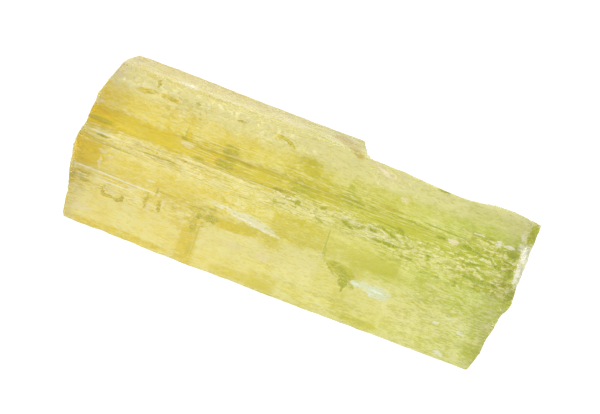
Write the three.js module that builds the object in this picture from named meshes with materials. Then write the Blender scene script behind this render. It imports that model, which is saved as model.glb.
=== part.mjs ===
// A golden beryl: one loose prism of yellow-green beryl, lying on one of its long faces.
//
// The crystal grew as a six-sided prism, and is broken off at both ends. Its long faces stand at 60 degrees
// to each other. A bevel runs between the top face and the big front face, with a shallow trough behind it,
// and a narrower one behind the top face. From a parting that crosses the prism to the green end, the back
// edge has split away.
//
// Millimetres, +Z up. X runs along the prism, from the golden end to the green end; +Y is the back.
// The origin is under the middle of the crystal, on the surface that it lies on.

import * as THREE from "three";
import { ImprovedNoise } from "three/addons/math/ImprovedNoise.js";
import { mergeVertices } from "three/addons/utils/BufferGeometryUtils.js";

// ---- Driving dimensions -------------------------------------------------------------------------------

const LENGTH = 42;
const HEIGHT = 13.5;
const TOP_WIDTH = 5.4;
const BEVEL_WIDTH = 1.87;
const BACK_BEVEL_WIDTH = 0.9;
const FRONT_UPPER_WIDTH = 9.95;
const BACK_UPPER_WIDTH = 7.6;

// The broken ends and the split edge are drawn in a plane that faces up and leans forward by this much,
// so that the top face and the big front face both show in it. Across it, 0 is the middle of the crystal.
const LEAN = THREE.MathUtils.degToRad(20);

// [across, along]: how far each end reaches along X, from the back edge of the crystal to its front edge.
const GOLDEN_END = [
  [8.3, -18.5], [7.6, -18.95], [7.0, -19.35], [6.0, -19.7], [5.0, -20.05], [4.0, -20.3], [3.2, -20.35],
  [2.0, -20.42], [0.7, -20.35], [0.0, -20.6], [-0.8, -21.0], [-2.2, -20.9], [-4.0, -20.55],
  [-5.5, -20.15], [-7.0, -19.95], [-8.3, -19.85],
];
const GREEN_END = [
  [8.3, 20.85], [6.4, 20.85], [4.5, 20.95], [2.6, 20.95], [0.2, 20.8], [-1.4, 20.85], [-2.4, 20.45],
  [-4.2, 20.3], [-5.1, 20.15], [-6.1, 20.15], [-7.0, 19.9], [-7.6, 19.75], [-8.3, 19.5],
];
// [along, across]: how far back the crystal reaches, with the split from the parting to the green end.
const BACK_EDGE = [
  [-21.1, 8.7], [3.4, 8.7], [3.7, 8.4], [3.92, 7.95], [4.02, 7.4], [4.1, 6.9], [4.25, 6.8], [6.6, 6.8],
  [9.4, 6.58], [12.3, 6.43], [14.6, 6.43], [16.2, 6.87], [17.4, 7.07], [18.8, 6.93], [20.4, 6.62],
  [21.1, 6.5],
];

// Each end bulges at its lip, and falls back above and below it. [across, how deep the lip lies there].
const GOLDEN_LIP = {
  depth: [[8.3, 0.3], [4, 0.5], [0, 0.6], [-0.6, 0.9], [-2.5, 1.2], [-3.2, 0.7], [-8.3, 0.4]],
  above: 0.3,
  below: 0.012,
};
const GREEN_LIP = {
  depth: [[8.3, 0.3], [4.8, 0.4], [4.2, 1], [1, 1], [0.2, 0.6], [-8.3, 0.4]],
  above: 0.25,
  below: 0.01,
};
const BREAK_ROUGHNESS = 0.36;
const BREAK_REACH = 7; // how far from an end the rings still follow its break
const SPLIT_UNDERCUT = 0.035;
const SPLIT_DEPTH = 1.2; // how far below the top face the split starts to wave
const SPLIT_WAVE = { across: 0.35, along: 0.25 };

// What a break looks like close up: broad shells with finer steps on them. Noise scales and shares.
const SHELLS = [
  { scale: 0.21, share: 0.5, shift: 0 },
  { scale: 0.63, share: 0.3, shift: 7.3 },
  { scale: 1.4, share: 0.15, shift: 3.1 },
];

// The trough behind the bevel, and the steps that the long faces grew in.
const TROUGH = { width: 1.5, depth: 0.34 };
const GROWTH_STEP = 0.12;
const RIBS = { across: 0.83, along: 0.045, share: 0.75 }; // long narrow ribs
const FINE_RIBS = { across: 1.9, along: 0.09, share: 0.45 };
const SWELL = { across: 0.11, along: 0.12, share: 0.6 }; // slow swells of a whole face
const CORNER_WEAR = 0.07;

// ---- The outline across the prism -----------------------------------------------------------------------

const SIN60 = Math.sin(Math.PI / 3);
const BACK_LOWER_WIDTH = (HEIGHT - BACK_BEVEL_WIDTH / 2) / SIN60 - BACK_UPPER_WIDTH;
const FRONT_LOWER_WIDTH = (HEIGHT - BEVEL_WIDTH / 2) / SIN60 - FRONT_UPPER_WIDTH;
const BOTTOM_WIDTH =
  TOP_WIDTH + (BEVEL_WIDTH + BACK_BEVEL_WIDTH) * SIN60
  + (FRONT_UPPER_WIDTH + BACK_UPPER_WIDTH - BACK_LOWER_WIDTH - FRONT_LOWER_WIDTH) / 2;

// heading: the way the face runs in the Y-Z plane, in degrees from +Y. facets: how many it is made of.
const FACES = [
  { name: "bottom", width: BOTTOM_WIDTH, heading: 0, facets: 7 },
  { name: "back lower", width: BACK_LOWER_WIDTH, heading: 60, facets: 7 },
  { name: "back upper", width: BACK_UPPER_WIDTH, heading: 120, facets: 9 },
  { name: "back bevel", width: BACK_BEVEL_WIDTH, heading: 150, facets: 2 },
  { name: "top", width: TOP_WIDTH, heading: 180, facets: 11 },
  { name: "bevel", width: BEVEL_WIDTH, heading: 210, facets: 4 },
  { name: "front upper", width: FRONT_UPPER_WIDTH, heading: 240, facets: 14 },
  { name: "front lower", width: FRONT_LOWER_WIDTH, heading: 300, facets: 6 },
];

function heading(degrees) {
  const angle = THREE.MathUtils.degToRad(degrees);
  return new THREE.Vector2(Math.cos(angle), Math.sin(angle));
}

// One point for each facet: where it is, which face it is on, how far along that face, and the way out.
function outlinePoints() {
  const start = new THREE.Vector2(0, 0);
  const points = [];
  FACES.forEach((face, index) => {
    const before = FACES[(index + FACES.length - 1) % FACES.length];
    const along = heading(face.heading);
    const out = heading(face.heading - 90);
    const cornerOut = heading(before.heading - 90).add(out).normalize();
    for (let facet = 0; facet < face.facets; facet++) {
      const reach = (face.width * facet) / face.facets;
      const corner = facet === 0;
      const at = start.clone().addScaledVector(along, reach);
      points.push({ at, face: face.name, reach, corner, out: corner ? cornerOut : out });
    }
    start.addScaledVector(along, face.width);
  });
  const across = points.map((point) => point.at.x);
  const middle = (Math.min(...across) + Math.max(...across)) / 2;
  for (const point of points) point.at.x -= middle;
  return points;
}

const OUTLINE = outlinePoints();
const CENTRE = new THREE.Vector2(0, HEIGHT / 2);

// ---- The leaning plane that the breaks are drawn in ------------------------------------------------------

const leanAcross = (y, z) => y * Math.cos(LEAN) + z * Math.sin(LEAN);
const leanUp = (y, z) => z * Math.cos(LEAN) - y * Math.sin(LEAN);
const outlineAcross = OUTLINE.map((point) => leanAcross(point.at.x, point.at.y));
const MIDDLE_ACROSS = (Math.min(...outlineAcross) + Math.max(...outlineAcross)) / 2;
const HALF_ACROSS = (Math.max(...outlineAcross) - Math.min(...outlineAcross)) / 2;
const acrossOf = (y, z) => leanAcross(y, z) - MIDDLE_ACROSS;

// How high the upper faces stand in the leaning plane, at one place across it.
function upperFaceAt(across) {
  let highest = -Infinity;
  OUTLINE.forEach((point, index) => {
    const next = OUTLINE[(index + 1) % OUTLINE.length].at;
    const from = acrossOf(point.at.x, point.at.y);
    const to = acrossOf(next.x, next.y);
    if (from === to || Math.min(from, to) > across || Math.max(from, to) < across) return;
    const share = (across - from) / (to - from);
    const height = THREE.MathUtils.lerp(leanUp(point.at.x, point.at.y), leanUp(next.x, next.y), share);
    highest = Math.max(highest, height);
  });
  return highest;
}

// Reads a list of [from, to] pairs as a line, whichever way round the list runs.
function readLine(pairs, from) {
  const list = pairs[0][0] < pairs[pairs.length - 1][0] ? pairs : [...pairs].reverse();
  if (from <= list[0][0]) return list[0][1];
  for (let i = 1; i < list.length; i++) {
    const [a, b] = [list[i - 1], list[i]];
    if (from <= b[0]) return THREE.MathUtils.mapLinear(from, a[0], b[0], a[1], b[1]);
  }
  return list[list.length - 1][1];
}

// ---- Broken surfaces -------------------------------------------------------------------------------------

const noise = new ImprovedNoise();

// The height of a break's shells at one place, from -0.5 to 0.5.
function shells(y, z, seed) {
  let height = 0;
  for (const { scale, share, shift } of SHELLS) {
    height += share * noise.noise(y * scale, z * scale, seed + shift);
  }
  return THREE.MathUtils.clamp(height, -0.5, 0.5);
}

// Where a break stands along X. side is -1 at the golden end and 1 at the green end.
function breakAt(line, lip, side, y, z) {
  const inset = 0.02;
  const across = THREE.MathUtils.clamp(acrossOf(y, z), inset - HALF_ACROSS, HALF_ACROSS - inset);
  const below = upperFaceAt(across) - leanUp(y, z) - readLine(lip.depth, across);
  const fall = (below < 0 ? lip.above : lip.below) * below * below;
  return readLine(line, across) - side * fall + BREAK_ROUGHNESS * shells(y, z, side * 11.7);
}

const goldenBreak = (y, z) => breakAt(GOLDEN_END, GOLDEN_LIP, -1, y, z);
const greenBreak = (y, z) => breakAt(GREEN_END, GREEN_LIP, 1, y, z);

// The split runs down behind the top face, almost along the lean, and cuts under it a little.
function splitBack(x, y, z) {
  const depth = Math.max(0, leanUp(0, HEIGHT) - leanUp(y, z));
  const waving = THREE.MathUtils.smoothstep(depth, SPLIT_DEPTH, HEIGHT / 2);
  const wave = waving * SPLIT_WAVE.across * noise.noise(x * 0.35, z * 0.5, 4.4);
  const sway = waving * SPLIT_WAVE.along * Math.sin(z * 0.9);
  const limit = readLine(BACK_EDGE, x + sway) - SPLIT_UNDERCUT * depth + wave;
  const over = acrossOf(y, z) - limit;
  return x > BACK_EDGE[1][0] && over > 0 ? y - over / Math.cos(LEAN) : y;
}

// ---- Relief of the long faces ----------------------------------------------------------------------------

// Narrow steps that run along the prism and die out, with the trough on the top face. The bottom is flat.
function reliefAt(point, index, x) {
  const onBottom = point.face === "bottom" || (point.face === "back lower" && point.corner);
  if (onBottom) return 0;
  const steps = (kind, shift) => kind.share * noise.noise(index * kind.across, x * kind.along, shift);
  let height = GROWTH_STEP * (steps(RIBS, 1.7) + steps(FINE_RIBS, 9.2) + steps(SWELL, 5.5));
  if (point.face === "top") {
    const fromBevel = THREE.MathUtils.clamp((TOP_WIDTH - point.reach) / TROUGH.width, 0, 1);
    height -= TROUGH.depth * Math.sin(Math.PI * fromBevel) * (0.75 + 0.35 * noise.noise(x * 0.1, 2.2, 0.4));
  }
  if (point.corner) height -= CORNER_WEAR * (1 + noise.noise(x * 0.5, index, 8.8));
  return height;
}

// ---- Rings along the prism -------------------------------------------------------------------------------

// Shares of the outline, from the middle of an end to its edge; then how far each ring lies from the end,
// close together at the breaks and wider apart between; then the rings that follow the parting.
const END_SHARES = [0, 0.16, 0.34, 0.52, 0.69, 0.84, 0.94];
const GOLDEN_RINGS = [
  0, 0.5, 1.1, 1.9, 2.8, 3.8, 5, 6.2, 7.5, 8.9, 10.3, 11.7, 13.1, 14.5, 15.9, 17.3, 18.7, 20.1, 21.4, 22.6,
];
const PARTING_RINGS = [2.6, 3.2, 3.5, 3.72, 3.84, 3.96, 4.15, 4.7, 5.6, 6.7];
const GREEN_RINGS = [12.9, 11.6, 10.3, 9, 7.8, 6.6, 5.5, 4.5, 3.6, 2.8, 2, 1.3, 0.6, 0];
const RING_END = LENGTH / 2 - 0.3;

const ringPlaces = [
  ...GOLDEN_RINGS.map((from) => from - RING_END),
  ...PARTING_RINGS,
  ...GREEN_RINGS.map((from) => RING_END - from),
];
const rings = [
  ...END_SHARES.map((share) => ({ share, x: -RING_END })),
  ...ringPlaces.map((x) => ({ share: 1, x })),
  ...END_SHARES.map((share) => ({ share, x: RING_END })).reverse(),
];

const fade = (distance) => Math.max(0, 1 - distance / BREAK_REACH) ** 2;

// Where one point of the outline stands on one ring.
function pointOn(ring, point, index) {
  const place = point.at.clone().addScaledVector(point.out, reliefAt(point, index, ring.x));
  place.x = splitBack(ring.x, place.x, place.y);
  place.sub(CENTRE).multiplyScalar(ring.share).add(CENTRE);
  const toGolden = goldenBreak(place.x, place.y) + RING_END;
  const toGreen = greenBreak(place.x, place.y) - RING_END;
  const x = ring.x + toGolden * fade(ring.x + RING_END) + toGreen * fade(RING_END - ring.x);
  return new THREE.Vector3(x, place.x, place.y);
}

// ---- The solid -------------------------------------------------------------------------------------------

// A lathe gives a closed skin of rings from pole to pole; each of its points then moves to the crystal.
function crystalGeometry() {
  const profile = rings.map((ring, j) => new THREE.Vector2(ring.share === 0 ? 0 : 1, j));
  const skin = new THREE.LatheGeometry(profile, OUTLINE.length);
  const positions = skin.getAttribute("position");
  for (let i = 0; i <= OUTLINE.length; i++) {
    const index = i % OUTLINE.length;
    rings.forEach((ring, j) => {
      const place = pointOn(ring, OUTLINE[index], index);
      positions.setXYZ(i * rings.length + j, place.x, place.y, place.z);
    });
  }
  skin.deleteAttribute("normal");
  skin.deleteAttribute("uv");
  const closed = mergeVertices(skin, 1e-4);
  closed.computeBoundingBox();
  const { min, max } = closed.boundingBox;
  closed.translate(-(min.x + max.x) / 2, -(min.y + max.y) / 2, -min.z);
  closed.computeVertexNormals();
  return closed;
}

const berylMaterial = new THREE.MeshStandardMaterial({ color: 0xdcd06a, roughness: 0.25, metalness: 0 });
const crystal = new THREE.Mesh(crystalGeometry(), berylMaterial);
crystal.name = "beryl_crystal";

const goldenBeryl = new THREE.Group();
goldenBeryl.add(crystal);

export default goldenBeryl;
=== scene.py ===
"""Golden beryl: the finish of the crystal, what is sealed inside it, and the studio round it."""

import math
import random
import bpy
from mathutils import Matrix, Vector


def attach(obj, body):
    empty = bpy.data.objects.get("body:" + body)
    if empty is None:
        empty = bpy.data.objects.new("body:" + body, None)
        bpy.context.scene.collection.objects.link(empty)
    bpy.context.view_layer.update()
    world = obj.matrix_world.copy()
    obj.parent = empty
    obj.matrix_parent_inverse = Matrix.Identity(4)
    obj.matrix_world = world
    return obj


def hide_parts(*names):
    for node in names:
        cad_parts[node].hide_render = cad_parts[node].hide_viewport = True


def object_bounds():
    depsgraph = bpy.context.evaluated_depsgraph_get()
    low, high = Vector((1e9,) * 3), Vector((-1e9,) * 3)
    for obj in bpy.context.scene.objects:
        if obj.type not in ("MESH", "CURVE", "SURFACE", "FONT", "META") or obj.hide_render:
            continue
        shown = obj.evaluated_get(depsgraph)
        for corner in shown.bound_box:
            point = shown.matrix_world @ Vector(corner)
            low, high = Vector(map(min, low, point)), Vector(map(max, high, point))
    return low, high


bl_info = {
    "name": "Golden Beryl Crystal",
    "version": (1, 0, 0),
    "blender": (4, 5, 0),
    "location": "3D Viewport > Sidebar > Golden Beryl",
    "description": "Finishes a loose prism of golden beryl and sets it in a plain white studio",
    "category": "Add Mesh",
}

from functools import reduce

import bmesh
import bpy
from mathutils import Matrix, Vector, noise
from mathutils.bvhtree import BVHTree

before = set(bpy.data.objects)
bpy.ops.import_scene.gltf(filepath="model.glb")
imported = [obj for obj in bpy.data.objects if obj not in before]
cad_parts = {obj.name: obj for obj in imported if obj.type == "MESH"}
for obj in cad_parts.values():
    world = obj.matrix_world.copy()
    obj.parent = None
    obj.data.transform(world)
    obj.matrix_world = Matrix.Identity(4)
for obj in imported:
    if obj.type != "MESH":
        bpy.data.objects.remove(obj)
CAD_LOW, CAD_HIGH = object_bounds()

CAD_NODE = "beryl_crystal"
BODY = "root"
MM = 0.001

# The crystal is read in a plane that faces up and leans forward: along the prism, across it and up from it.
LEAN = math.radians(20)
ACROSS = Vector((0, math.cos(LEAN), math.sin(LEAN)))
UP = Vector((0, -math.sin(LEAN), math.cos(LEAN)))


def lean_middle():
    """Across the crystal, the middle of what shows in the leaning plane, in metres."""
    reach = [ACROSS.dot(v.co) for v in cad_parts[CAD_NODE].data.vertices]
    return (min(reach) + max(reach)) / 2


MIDDLE = lean_middle()
HIGH_UP = 40  # clear of the crystal, to look down from, in millimetres
BESIDE = 8.0  # how far up a spot beside the crystal is put, in millimetres

BERYL_IOR = 1.577
SEE_THROUGH = 0.62
DEPTH_TINT = (0.95, 0.94, 0.10)
DEPTH_DENSITY = 120  # for each metre

# How the colours run along the crystal, in millimetres.
COLOUR_RUN = 42
WANDER = 5.0
PARTED_STEP = 4.2  # how much greener it is past the parting near the middle

SPREAD = 1.5  # how far a spot's soft rim reaches, for each listed half size
SPOT_DEPTH = 3.0  # how far its colour goes in, in millimetres

WEAR_ROUNDS = 10  # of smoothing
FILM_GRID = (30, 12)
FILM_COVER = 0.12 * MM
TUBE_SIDES = 5

# The studio, in metres, apart from the lens and the sensor.
FLOOR_REACH = 3
FLOOR_GAP = 0.03 * MM
GLOW = 1.08
LAMP_SIZE = (0.25, 0.12)
LAMP_POWER = 0.1
LAMP_AT = Vector((-0.12, 0.25, 0.22))
LENS = 200
SENSOR = 36
FRAME_WIDTH = 54.2 * MM
CAMERA_HEIGHT = math.radians(70)
CAMERA_ROLL = math.radians(20.9)
CAMERA_SHIFT = (0.262 * MM, 0.311 * MM)
AIM = 0.62  # how far up the crystal the camera looks


def place(along, across, up):
    """The point at a place in the leaning plane, given in millimetres."""
    return Vector((along * MM, 0, 0)) + ACROSS * (across * MM + MIDDLE) + UP * up * MM


def read(point):
    """Along, across and up of a point, in millimetres."""
    return point.x / MM, (ACROSS.dot(point) - MIDDLE) / MM, UP.dot(point) / MM


def blend(low, high, value):
    """From 0 at low to 1 at high, smoothly. It runs the other way if low is above high."""
    share = min(max((value - low) / (high - low), 0.0), 1.0)
    return share * share * (3 - 2 * share)


# ---- What a user would change ----


def a_length(name, description, default):
    """A length that a user may change, given in millimetres."""
    return bpy.props.FloatProperty(
        name=name, description=description, default=default * MM, unit="LENGTH", precision=6
    )


def a_colour(name, description, default):
    """A colour that a user may change."""
    return bpy.props.FloatVectorProperty(
        name=name, description=description, default=default, size=3, subtype="COLOR"
    )


class BerylSizes(bpy.types.PropertyGroup):
    """Sizes of the relief"""

    cuts: bpy.props.IntProperty(
        name="Cuts", description="How often each facet edge of the frame is cut", default=4, min=1, max=5
    )
    rib_height: a_length("Rib height", "Height of the growth ribs along the prism", 0.07)
    shell_height: a_length("Shell height", "Height of the ripples on broken faces", 0.2)
    grain_height: a_length("Grain height", "Height of the crumbly grains near the green end", 0.16)
    etch_height: a_length("Etch height", "Height of the shallow etching on the grown faces", 0.035)
    droplet_size: a_length("Droplet size", "Radius of the droplets in a healed fracture", 0.11)
    tube_size: a_length("Tube size", "Radius of the growth tubes", 0.035)
    film_thickness: a_length("Film thickness", "Thickness of a sealed-in film", 0.05)


class BerylColours(bpy.types.PropertyGroup):
    """Colours of the crystal"""

    golden: a_colour("Golden", "The golden end", (0.98, 0.74, 0.06))
    yellow: a_colour("Yellow", "Next to the golden end", (0.99, 0.85, 0.28))
    lemon: a_colour("Lemon", "The middle", (0.96, 0.87, 0.27))
    lime: a_colour("Lime", "Past the split", (0.93, 0.88, 0.30))
    green: a_colour("Green", "The green end", (0.73, 0.86, 0.29))
    band: a_colour("Band", "Deeper gold along the trough", (0.82, 0.64, 0.01))
    amber: a_colour("Amber", "The deepest gold, at the golden end", (0.96, 0.68, 0.0))
    stain: a_colour("Stain", "Iron-gold stains", (0.60, 0.40, 0.01))
    moss: a_colour("Moss", "Deeper yellow-green of the middle", (0.70, 0.61, 0.01))
    fern: a_colour("Fern", "Deeper green of the green end", (0.57, 0.62, 0.02))
    # Olive and leaf are painted shade where they darken cracks and fine lines, and the stone's own darker
    # tone in its grains and patches. Ink and pine are painted shade in the darkest cracks.
    olive: a_colour("Olive", "Cracks on the golden side", (0.54, 0.45, 0.01))
    leaf: a_colour("Leaf", "Cracks on the green side", (0.44, 0.48, 0.01))
    ink: a_colour("Ink", "The darkest cracks on the golden side", (0.43, 0.42, 0.0))
    pine: a_colour("Pine", "The darkest cracks on the green side", (0.33, 0.42, 0.0))
    # Blush also paints glints, as painted highlights.
    blush: a_colour("Blush", "Pinkish white spots", (1.00, 0.89, 0.62))
    # Pale also paints the highlights beside cracks and the sheen towards the back bevel, as painted light.
    pale: a_colour("Pale", "Frosted places", (1.00, 0.95, 0.56))
    # Flash is the bluish white of a painted reflection of the lamp off a thin crack under the face.
    flash: a_colour("Flash", "A bluish film close under the face", (0.93, 1.00, 0.93))
    # Veil also paints the white of flashes and glints, as painted highlights and reflections.
    veil: a_colour("Veil", "Whitish veils and crust", (1.00, 1.00, 0.92))


def sizes():
    return bpy.context.scene.beryl_sizes


def colours():
    return bpy.context.scene.beryl_colours


# ---- Meshes ----


def add_object(name, data):
    """A new object in the scene."""
    thing = bpy.data.objects.new(name, data)
    bpy.context.scene.collection.objects.link(thing)
    return thing


def take_mesh(name, bm):
    """A mesh made of a bmesh, which is used up."""
    mesh = bpy.data.meshes.new(name)
    bm.to_mesh(mesh)
    bm.free()
    return mesh


def finish_piece(name, bm, material):
    """Makes a piece of a bmesh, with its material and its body."""
    piece = add_object(name, take_mesh(name, bm))
    piece.data.materials.append(material)
    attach(piece, BODY)
    return piece


def ridged(point):
    """From 0 to 1, highest along winding crests."""
    return 1 - abs(noise.noise(point))


def rib_relief(point):
    """Growth ribs: long and narrow along the prism, each dying out. About -1 to 1."""
    along, y, z = point / MM
    broad = noise.noise(Vector((along * 0.11, y * 1.1, z * 1.1)))
    fine = ridged(Vector((along * 0.22 + 9, y * 2.6, z * 2.6))) * 2 - 1.6
    strong = 0.5 + 0.9 * max(0, noise.noise(Vector((along * 0.16, y * 0.5, z * 0.5 + 4))) + 0.25)
    return (0.8 * broad + 0.55 * fine) * strong


def shell_relief(point):
    """The ripples of a broken face. About -1 to 1."""
    spot = point / MM
    wide = noise.noise(spot * 0.55)
    ripple = ridged(spot * 1.15 + Vector((3, 1, 7))) * 2 - 1.5
    hackle = noise.noise(spot * 2.6)
    return 0.6 * wide + 0.6 * ripple + 0.5 * hackle


def grain_relief(point):
    """Rounded grains with creases between them, from -1 to 0."""
    spot = Vector((point.x / MM * 0.9, point.y / MM * 1.5, point.z / MM * 1.5))
    distances, _ = noise.voronoi(spot)
    return -min(1.0, distances[0] * 1.6)


def etch_relief(point):
    """Shallow irregular etching. About -1 to 1."""
    along, y, z = point / MM
    spot = Vector((along * 0.9, y * 1.7, z * 1.7))
    return noise.noise(spot) + 0.6 * noise.noise(spot * 2.3)


def crystal_relief(point, normal):
    """How far a point of the crystal's surface moves out, in metres.

    The kinds of surface meet at places given in millimetres, or where the surface turns far enough.
    """
    along, across, _ = read(point)
    settled = blend(-0.7, -0.95, normal.z)
    broken = blend(0.45, 0.8, abs(normal.x))
    split = blend(3.8, 4.6, along) * blend(0.88, 0.98, normal.dot(ACROSS))
    shell = max(broken, split * 0.8)
    banded = blend(3.0, 2.2, across) * blend(-1.5, -0.6, across)
    behind = blend(6.3, 6.8, across)
    ribs = (1 - shell) * (0.12 + 0.75 * banded + 0.7 * behind)
    grainy = blend(14.0, 16.5, along) * blend(4.0, 3.4, across) * blend(-2.0, -0.6, across) * (1 - broken)
    move = sizes().rib_height * ribs * rib_relief(point)
    move += sizes().shell_height * shell * (shell_relief(point) - 0.8)
    move += sizes().grain_height * grainy * grain_relief(point)
    move += sizes().etch_height * (1 - shell) * etch_relief(point)
    return move * (1 - settled)


def crystal_bmesh():
    """The frame's crystal, cut finer, worn along its edges and given its relief."""
    bm = bmesh.new()
    bm.from_mesh(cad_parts[CAD_NODE].data)
    bmesh.ops.remove_doubles(bm, verts=bm.verts, dist=1e-7)
    flat = math.radians(60)
    bmesh.ops.join_triangles(bm, faces=bm.faces, angle_face_threshold=flat, angle_shape_threshold=flat)
    bmesh.ops.subdivide_edges(bm, edges=bm.edges, cuts=sizes().cuts, use_grid_fill=True)
    fresh = [v.co.copy() for v in bm.verts]
    for _ in range(WEAR_ROUNDS):
        bmesh.ops.smooth_vert(
            bm, verts=bm.verts, factor=0.5, use_axis_x=True, use_axis_y=True, use_axis_z=True
        )
    for vert, before in zip(bm.verts, fresh):
        chip = blend(0.05, 0.4, noise.noise(before / MM * 0.9)) * 0.9
        worn = before.lerp(vert.co, 0.5 + chip)
        vert.co = Vector((worn.x, worn.y, max(worn.z, 0)))
    bm.normal_update()
    moves = [crystal_relief(v.co, v.normal) for v in bm.verts]
    for vert, move in zip(bm.verts, moves):
        moved = vert.co + vert.normal * move
        vert.co = [min(max(value, low), high) for value, low, high in zip(moved, CAD_LOW, CAD_HIGH)]
    return bm


# ---- Materials ----


class Shade:
    """A material's nodes, added one call at a time. What a call returns feeds the next."""

    def __init__(self, name):
        self.material = bpy.data.materials.new(name)
        self.material.use_nodes = True
        self.tree = self.material.node_tree

    def feed(self, socket, value):
        """Links an input to an output, or sets it."""
        if isinstance(value, bpy.types.NodeSocket):
            self.tree.links.new(value, socket)
        elif socket.type == "RGBA":
            socket.default_value = (*value, 1)
        else:
            socket.default_value = value

    def fill(self, node, **values):
        """Feeds a node's inputs by name, with _ for a space."""
        for name, value in values.items():
            self.feed(node.inputs[name.replace("_", " ")], value)
        return node

    def node(self, kind, **values):
        """A new node, with its inputs."""
        return self.fill(self.tree.nodes.new("ShaderNode" + kind), **values)

    def set(self, **values):
        self.fill(self.tree.nodes["Principled BSDF"], **values)

    def lean(self):
        """Along, across and up in millimetres, in the leaning plane."""
        return self.node(
            "Mapping", Vector=self.node("TexCoord").outputs["Object"], Location=(0, -MIDDLE / MM, 0),
            Rotation=(-LEAN, 0, 0), Scale=(1 / MM,) * 3,
        ).outputs["Vector"]

    def stretch(self, vector, scale, shift=(0, 0, 0)):
        return self.node("Mapping", Vector=vector, Location=shift, Scale=scale).outputs["Vector"]

    def split(self, vector):
        return self.node("SeparateXYZ", Vector=vector).outputs

    def math(self, operation, *values):
        node = self.tree.nodes.new("ShaderNodeMath")
        node.operation = operation
        for socket, value in zip(node.inputs, values):
            self.feed(socket, value)
        return node.outputs[0]

    def fold(self, operation, values):
        """All the values joined by a math operation. Each is made as it is joined to those before it."""
        return reduce(lambda total, value: self.math(operation, total, value), values)

    def noise(self, vector, scale, detail, rough=0.5, shift=(0, 0, 0), twist=0.0):
        """Noise from 0 to 1. scale is its waves for each millimetre along, across and up."""
        return self.node(
            "TexNoise", Vector=self.stretch(vector, scale, shift), Scale=1, Detail=detail, Roughness=rough,
            Distortion=twist,
        ).outputs["Fac"]

    def warp(self, vector, scale, amount):
        """The vector, moved this way and that by up to half the amount."""
        wave = self.noise(vector, scale, 4, 0.7).node
        bent = self.tree.nodes.new("ShaderNodeVectorMath")
        bent.operation = "MULTIPLY_ADD"
        for socket, value in zip(bent.inputs, (wave.outputs["Color"], amount, vector)):
            self.feed(socket, value)
        return self.stretch(bent.outputs["Vector"], (1, 1, 1), [-whole / 2 for whole in amount])

    def cells(self, vector):
        """Angular cells: the distance from a cell's border, and a value of its own for each cell."""
        border, inside = (self.node("TexVoronoi", Vector=vector, Scale=1) for _ in range(2))
        border.feature = "DISTANCE_TO_EDGE"
        return border.outputs["Distance"], self.split(inside.outputs["Color"])[0]

    def ramp(self, value, low, high, to_low=0.0, to_high=1.0):
        """Goes smoothly from to_low at low to to_high at high, and stays there."""
        node = self.node("MapRange", Value=value, From_Min=low, From_Max=high, To_Min=to_low, To_Max=to_high)
        node.interpolation_type = "SMOOTHSTEP"
        node.clamp = False
        return node.outputs["Result"]

    def between(self, value, low, high, soft):
        """1 between low and high, fading to 0 within soft outside them."""
        rise = self.ramp(value, low - soft, low)
        fall = self.ramp(value, high, high + soft, 1.0, 0.0)
        return self.math("MULTIPLY", rise, fall)

    def mix(self, factor, first, second):
        node = self.tree.nodes.new("ShaderNodeMix")
        node.data_type = "RGBA"
        self.feed(node.inputs["Factor"], factor)
        self.feed(node.inputs[6], first)
        self.feed(node.inputs[7], second)
        return node.outputs[2]

    def gradient(self, value, stops):
        """A colour for each place: stops are (place, colour), with places from 0 to 1."""
        node = self.node("ValToRGB", Fac=value)
        elements = node.color_ramp.elements
        while len(elements) < len(stops):
            elements.new(0.5)
        for element, (at, colour) in zip(elements, stops):
            element.position = at
            element.color = (*colour, 1)
        return node.outputs["Color"]

    def bump(self, height, distance, strength, **under):
        node = self.node("Bump", Height=height, Distance=distance, Strength=strength, **under)
        return node.outputs["Normal"]

    def depth(self, colour, density):
        """Absorption inside a closed piece, so that it is deeper in colour where it is thicker."""
        absorption = self.node("VolumeAbsorption", Color=colour, Density=density)
        self.fill(self.tree.nodes["Material Output"], Volume=absorption.outputs["Volume"])


# What shows at the upper faces, in millimetres in the leaning plane.
# Spots: along, across, half length, half width, turn in degrees and strength.
GOLD_SPOTS = (
    (-20.3, 4.6, 1.1, 1.3, 0, 1.0), (-19.6, -1.7, 1.9, 1.5, 0, 0.9), (-20.0, -4.3, 0.5, 0.7, 0, 0.5),
    (5.6, -3.6, 1.5, 0.55, -12, 0.8), (-16.25, 5.2, 1.0, 0.28, 8, 0.65), (-14.1, 5.3, 1.0, 0.28, -5, 0.7),
    (-16.3, 6.6, 0.6, 0.2, -8, 0.45), (-11.3, 2.6, 0.3, 0.6, 0, 0.8), (-13.6, 1.6, 1.4, 0.6, 0, 0.6),
    (-11.7, 1.45, 0.9, 0.25, 0, 0.9), (-14.6, -7.7, 5.2, 0.4, 0, 0.6), (-3.4, 5.6, 0.9, 0.16, -8, 0.9),
    (-2.6, 5.35, 0.5, 0.16, -30, 0.9), (-2.6, -7.5, 3.4, 0.5, 0, 0.5), (-0.1, 3.7, 0.6, 1.1, 5, 0.8),
    (-4.9, -3.5, 2.3, 0.4, 2, 0.8), (8.5, -7.5, 2.2, 0.35, 0, 0.6), (8.6, -2.0, 2.0, 0.9, 0, 0.5),
    (19.3, -6.4, 0.9, 0.9, 0, 0.5), (20.5, 5.3, 0.4, 1.1, 0, 1.0), (20.4, -0.6, 0.5, 1.0, 0, 1.0),
)
AMBER_SPOTS = (
    (-20.2, 1.45, 2.2, 0.8, 0, 1.0), (-20.6, 0.4, 0.6, 1.0, 0, 0.7), (-20.0, -1.6, 1.1, 1.2, 0, 0.7),
    (-20.5, 4.9, 0.5, 0.9, 0, 0.6), (-7.9, 1.7, 1.0, 0.8, 0, 0.8),
)
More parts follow.
